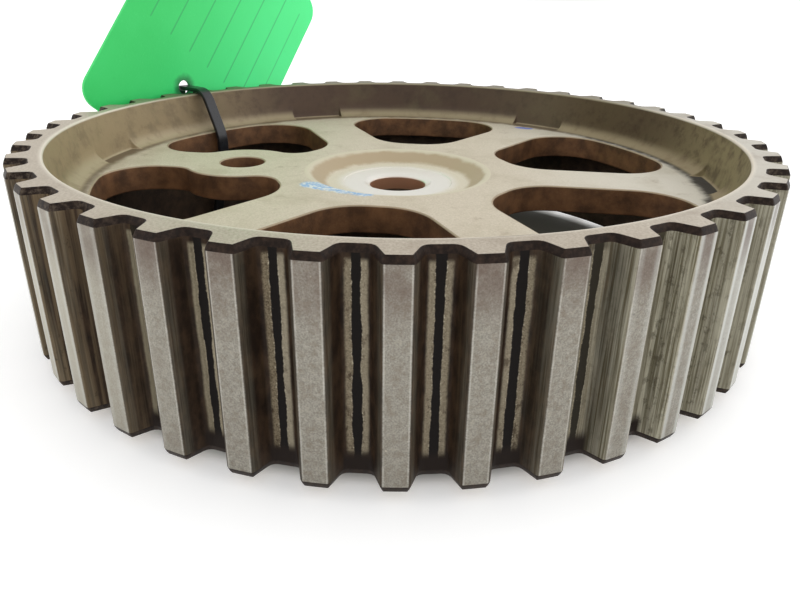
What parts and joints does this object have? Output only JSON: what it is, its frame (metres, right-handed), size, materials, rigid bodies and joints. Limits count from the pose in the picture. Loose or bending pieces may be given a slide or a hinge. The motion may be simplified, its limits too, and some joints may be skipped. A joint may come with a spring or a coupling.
{
  "type": "timing belt pulley",
  "caption": "Toothed timing belt wheel with a dished, six-window web, a central bolt bore and a locating hole, with a blank card tag on a cable tie.",
  "frame": {"origin": "centre of the shaft seat at the hub's rear face", "axes": "+Z along the wheel's axis, from the hub's rear face to the dished front; tooth 0 points to -Y"},
  "size_m": [0.1338, 0.1483, 0.0801],
  "materials": {
    "sintered_steel": "worn",
    "black_nylon": "satin",
    "green_card": "satin"
  },
  "bodies": {
    "wheel": {"pulley_wheel": "sintered_steel"},
    "tie": {"cable_tie": "black_nylon"},
    "tag": {"card_tag": "green_card"}
  },
  "joints": [
    {"name": "tie_slide_round_rim", "type": "hinge", "parent": "wheel", "child": "tie", "pos_m": [0, 0, 0], "axis": [0, 0, 1], "range_deg": [-6, 6]},
    {"name": "tag_swing", "type": "hinge", "parent": "tie", "child": "tag", "pos_m": [-0.05273, 0.04147, 0.03235], "axis": [-0.829, 0.5592, 0], "range_deg": [-75, 30]}
  ]
}
